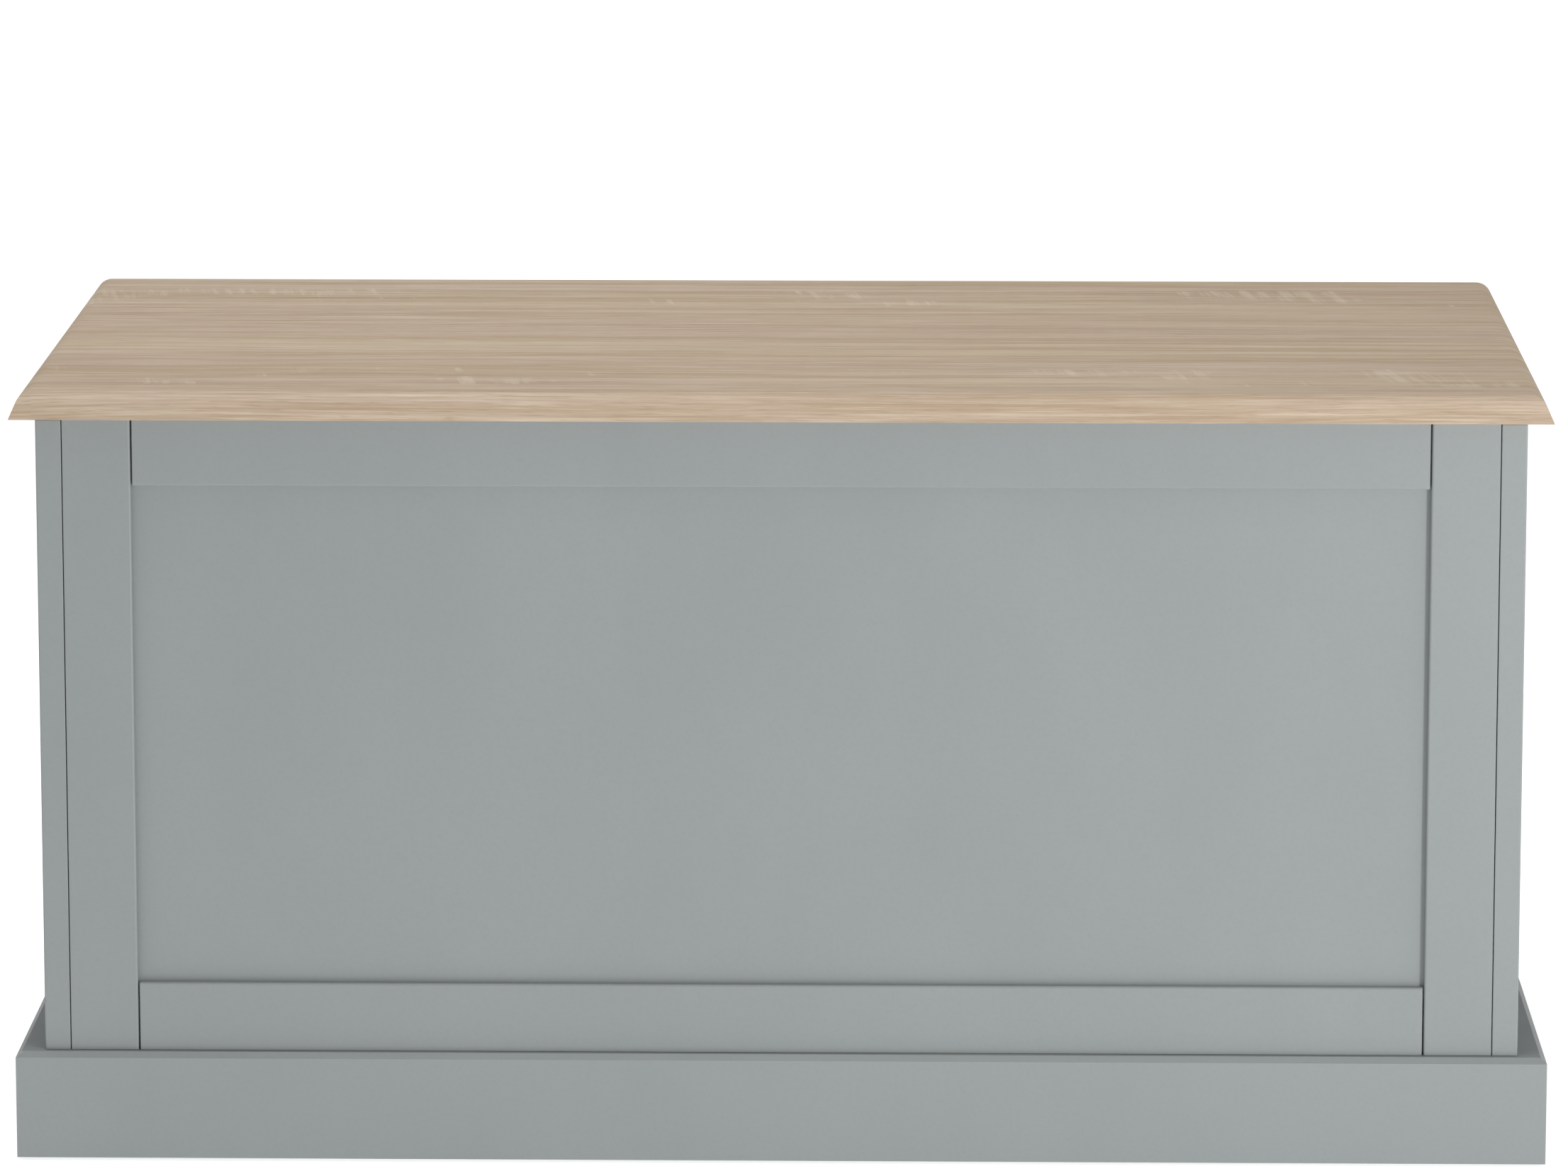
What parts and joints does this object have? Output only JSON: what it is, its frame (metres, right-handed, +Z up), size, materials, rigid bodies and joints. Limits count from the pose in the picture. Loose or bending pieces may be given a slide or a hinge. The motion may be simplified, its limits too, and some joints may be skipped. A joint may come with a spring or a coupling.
{
  "type": "wooden toy box",
  "caption": "Panelled chest with a framed front, mitred plinth and a flat lid on back hinges, held open by slow-closing folding stays.",
  "frame": {"origin": "middle of the overall box, on the floor", "axes": "+Z up, +X to the right along the width, the front faces -Y"},
  "size_m": [0.904, 0.4555, 0.461],
  "materials": {
    "painted_board": "satin sage-grey paint on fibreboard",
    "oak_foil": "matt pale oak-effect face on fibreboard",
    "melamine_board": "grey melamine-faced board",
    "softwood": "planed pine, unfinished",
    "beech": "fluted beech dowel, unfinished",
    "zinc_casting": "zinc die casting, dull",
    "zinc_steel": "bright zinc plate",
    "hinge_steel": "nickel plate, satin",
    "stay_steel": "nickel plate, satin",
    "damper_plastic": "moulded, fine texture",
    "glide_plastic": "moulded, matt",
    "felt": "pressed felt"
  },
  "bodies": {
    "carcass": {"left_side_panel": "painted_board", "right_side_panel": "painted_board", "front_panel": "painted_board", "back_panel": "painted_board", "base_panel": "melamine_board", "front_base_cleat": "softwood", "back_base_cleat": "softwood", "left_base_cleat": "softwood", "right_base_cleat": "softwood", "base_centre_bearer": "softwood", "front_left_stile": "painted_board", "front_right_stile": "painted_board", "front_top_rail": "painted_board", "front_bottom_rail": "painted_board", "plinth_front": "painted_board", "plinth_left": "painted_board", "plinth_right": "painted_board", "corner_dowels": "beech", "cam_bolts": "zinc_casting", "cam_discs": "zinc_casting", "cleat_screws": "zinc_steel", "plinth_screws": "zinc_steel", "floor_glides": "glide_plastic", "hinge_body_screws": "zinc_steel", "stay_housing_screws": "zinc_steel", "left_hinge_body_leaf": "hinge_steel", "centre_hinge_body_leaf": "hinge_steel", "right_hinge_body_leaf": "hinge_steel", "left_hinge_pin": "hinge_steel", "centre_hinge_pin": "hinge_steel", "right_hinge_pin": "hinge_steel", "left_stay_housing": "damper_plastic", "left_stay_spindle": "stay_steel", "right_stay_housing": "damper_plastic", "right_stay_spindle": "stay_steel"},
    "lid": {"lid": "oak_foil", "lid_bumpers": "felt", "hinge_lid_screws": "zinc_steel", "stay_bracket_screws": "zinc_steel", "left_hinge_lid_leaf": "hinge_steel", "centre_hinge_lid_leaf": "hinge_steel", "right_hinge_lid_leaf": "hinge_steel", "left_stay_lid_bracket": "stay_steel", "left_stay_lid_pin": "stay_steel", "right_stay_lid_bracket": "stay_steel", "right_stay_lid_pin": "stay_steel"},
    "left_stay_arm": {"left_stay_arm": "stay_steel", "left_stay_elbow_rivet": "stay_steel"},
    "left_stay_link": {"left_stay_link": "stay_steel"},
    "right_stay_arm": {"right_stay_arm": "stay_steel", "right_stay_elbow_rivet": "stay_steel"},
    "right_stay_link": {"right_stay_link": "stay_steel"}
  },
  "joints": [
    {"name": "lid_hinge", "type": "hinge", "parent": "carcass", "child": "lid", "pos_m": [0, 0.22525, 0.4445], "axis": [-1, 0, 0], "range_deg": [0, 85]},
    {"name": "left_stay_spindle_turn", "type": "hinge", "parent": "carcass", "child": "left_stay_arm", "pos_m": [-0.404, 0.16325, 0.3785], "axis": [-1, 0, 0], "range_deg": [0, 85]},
    {"name": "left_stay_elbow_turn", "type": "hinge", "parent": "left_stay_arm", "child": "left_stay_link", "pos_m": [-0.401, 0.05325, 0.3645], "axis": [-1, 0, 0], "range_deg": [-85, 0]},
    {"name": "right_stay_spindle_turn", "type": "hinge", "parent": "carcass", "child": "right_stay_arm", "pos_m": [0.404, 0.16325, 0.3785], "axis": [-1, 0, 0], "range_deg": [0, 85]},
    {"name": "right_stay_elbow_turn", "type": "hinge", "parent": "right_stay_arm", "child": "right_stay_link", "pos_m": [0.401, 0.05325, 0.3645], "axis": [-1, 0, 0], "range_deg": [-85, 0]}
  ],
  "couplings": [
    {"joint": "left_stay_spindle_turn", "follows": "lid_hinge", "ratio": 1},
    {"joint": "left_stay_elbow_turn", "follows": "lid_hinge", "ratio": -1},
    {"joint": "right_stay_spindle_turn", "follows": "lid_hinge", "ratio": 1},
    {"joint": "right_stay_elbow_turn", "follows": "lid_hinge", "ratio": -1}
  ]
}
